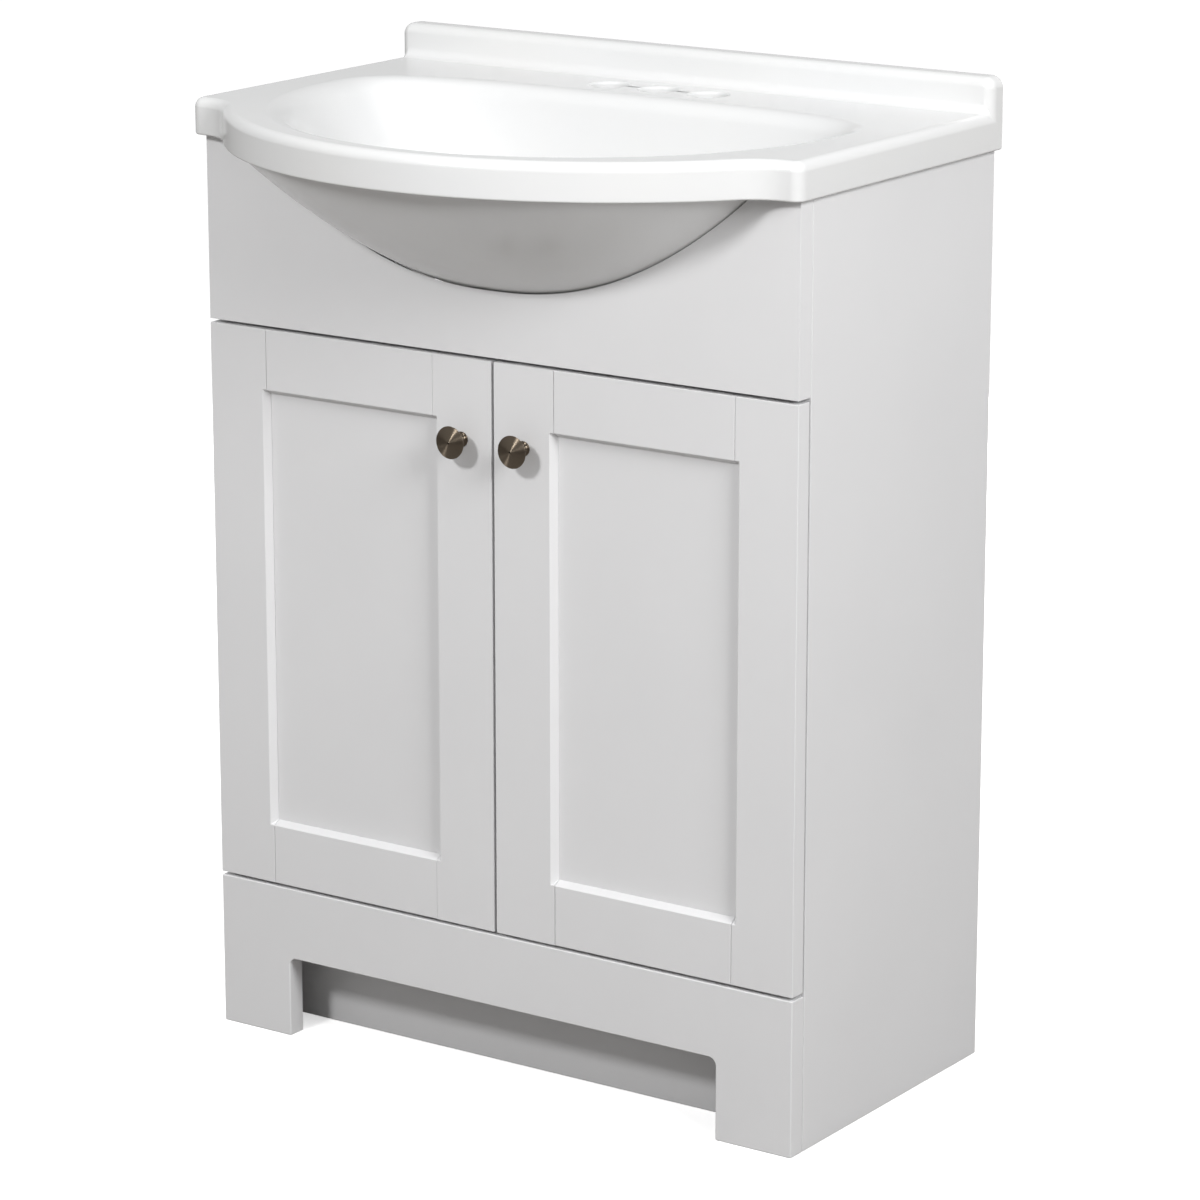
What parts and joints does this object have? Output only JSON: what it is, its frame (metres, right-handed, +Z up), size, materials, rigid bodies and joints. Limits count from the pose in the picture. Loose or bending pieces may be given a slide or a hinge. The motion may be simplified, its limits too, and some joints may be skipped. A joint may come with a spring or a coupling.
{
  "type": "bathroom vanity cabinet",
  "caption": "Small floor-standing bathroom vanity: two-door painted cabinet with recessed-panel doors, round knobs, curved fascia cut-out and a white belly-bowl sink top with backsplash.",
  "frame": {"origin": "on the floor, at the centre of the overall box", "axes": "front faces -Y, +Z up, +X to the right seen from the front"},
  "size_m": [0.61, 0.457, 0.862],
  "materials": {
    "cast_top": "gloss white cast gel coat",
    "painted_board": "satin pale grey paint",
    "inner_board": "white melamine",
    "knob_metal": "brushed nickel",
    "hinge_steel": "nickel plated",
    "bumper": "soft clear plastic"
  },
  "bodies": {
    "cabinet": {"vanity_top": "cast_top", "side_panel_left": "painted_board", "side_panel_right": "painted_board", "front_skirt": "painted_board", "fascia_panel": "painted_board", "toe_kick_board": "painted_board", "floor_panel": "inner_board", "front_rail": "inner_board", "back_rail_top": "inner_board", "back_rail_bottom": "inner_board", "hinge_left_bottom_plate": "hinge_steel", "hinge_left_bottom_arm": "hinge_steel", "hinge_left_bottom_lower_screw": "hinge_steel", "hinge_left_bottom_upper_screw": "hinge_steel", "hinge_left_top_plate": "hinge_steel", "hinge_left_top_arm": "hinge_steel", "hinge_left_top_lower_screw": "hinge_steel", "hinge_left_top_upper_screw": "hinge_steel", "hinge_right_bottom_plate": "hinge_steel", "hinge_right_bottom_arm": "hinge_steel", "hinge_right_bottom_lower_screw": "hinge_steel", "hinge_right_bottom_upper_screw": "hinge_steel", "hinge_right_top_plate": "hinge_steel", "hinge_right_top_arm": "hinge_steel", "hinge_right_top_lower_screw": "hinge_steel", "hinge_right_top_upper_screw": "hinge_steel"},
    "door_left": {"door_left_outer_stile": "painted_board", "door_left_inner_stile": "painted_board", "door_left_top_rail": "painted_board", "door_left_bottom_rail": "painted_board", "door_left_panel": "painted_board", "knob_left": "knob_metal", "knob_left_screw": "hinge_steel", "door_left_top_bumper": "bumper", "door_left_bottom_bumper": "bumper", "hinge_left_bottom_cup": "hinge_steel", "hinge_left_top_cup": "hinge_steel"},
    "door_right": {"door_right_outer_stile": "painted_board", "door_right_inner_stile": "painted_board", "door_right_top_rail": "painted_board", "door_right_bottom_rail": "painted_board", "door_right_panel": "painted_board", "knob_right": "knob_metal", "knob_right_screw": "hinge_steel", "door_right_top_bumper": "bumper", "door_right_bottom_bumper": "bumper", "hinge_right_bottom_cup": "hinge_steel", "hinge_right_top_cup": "hinge_steel"},
    "hinge_links_left": {"hinge_left_bottom_link": "hinge_steel", "hinge_left_top_link": "hinge_steel"},
    "hinge_links_right": {"hinge_right_bottom_link": "hinge_steel", "hinge_right_top_link": "hinge_steel"}
  },
  "joints": [
    {"name": "door_left_hinge", "type": "hinge", "parent": "cabinet", "child": "door_left", "pos_m": [-0.2935, -0.071, 0.388], "axis": [0, 0, -1], "range_deg": [0, 105]},
    {"name": "door_right_hinge", "type": "hinge", "parent": "cabinet", "child": "door_right", "pos_m": [0.2935, -0.071, 0.388], "axis": [0, 0, 1], "range_deg": [0, 105]},
    {"name": "hinge_links_left_turn", "type": "hinge", "parent": "cabinet", "child": "hinge_links_left", "pos_m": [-0.2645, -0.062, 0.388], "axis": [0, 0, -1], "range_deg": [-14, 0]},
    {"name": "hinge_links_right_turn", "type": "hinge", "parent": "cabinet", "child": "hinge_links_right", "pos_m": [0.2645, -0.062, 0.388], "axis": [0, 0, 1], "range_deg": [-14, 0]}
  ],
  "couplings": [
    {"joint": "hinge_links_left_turn", "follows": "door_left_hinge", "ratio": -0.125},
    {"joint": "hinge_links_right_turn", "follows": "door_right_hinge", "ratio": -0.125}
  ]
}
